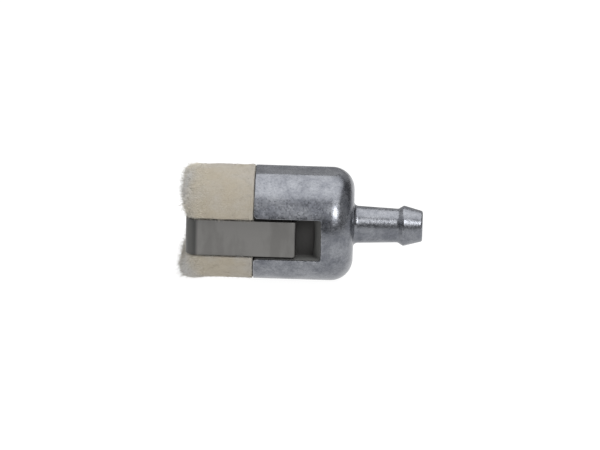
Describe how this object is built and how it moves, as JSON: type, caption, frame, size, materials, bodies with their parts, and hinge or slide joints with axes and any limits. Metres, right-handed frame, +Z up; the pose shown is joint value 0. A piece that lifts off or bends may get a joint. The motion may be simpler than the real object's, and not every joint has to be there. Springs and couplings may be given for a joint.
{
  "type": "fuel filter",
  "caption": "Weighted in-tank fuel pick-up filter: zinc casting with a barbed hose nipple and side slots, a felt plug on its mouth, and a U-shaped spring clip over the felt.",
  "frame": {"origin": "middle of the underside of the whole filter's box, on the lower flat that it rests on", "axes": "+X along the filter's axis from the felt towards the nipple, +Z up, the clip's legs on the -Y and +Y sides"},
  "size_m": [0.0342, 0.0158, 0.0158],
  "materials": {
    "cast_zinc": "tumbled zinc die casting, satin blue-grey",
    "wool_felt": "pressed wool felt, undyed cream",
    "spring_steel": "rolled spring steel strip, satin",
    "screen_wire": "plain woven steel wire",
    "ring_steel": "pressed steel, satin"
  },
  "bodies": {
    "casting": {"housing": "cast_zinc", "strainer_screen": "screen_wire", "screen_ring": "ring_steel"},
    "felt": {"felt_element": "wool_felt"},
    "clip": {"retaining_clip": "spring_steel"}
  },
  "joints": [
    {"name": "felt_slide", "type": "slide", "parent": "casting", "child": "felt", "axis": [-1, 0, 0], "range_m": [0, 0.012], "deforming": ["retaining_clip"]},
    {"name": "clip_slide", "type": "slide", "parent": "felt", "child": "clip", "axis": [-1, 0, 0], "range_m": [0, 0.018], "deforming": ["retaining_clip"]}
  ]
}
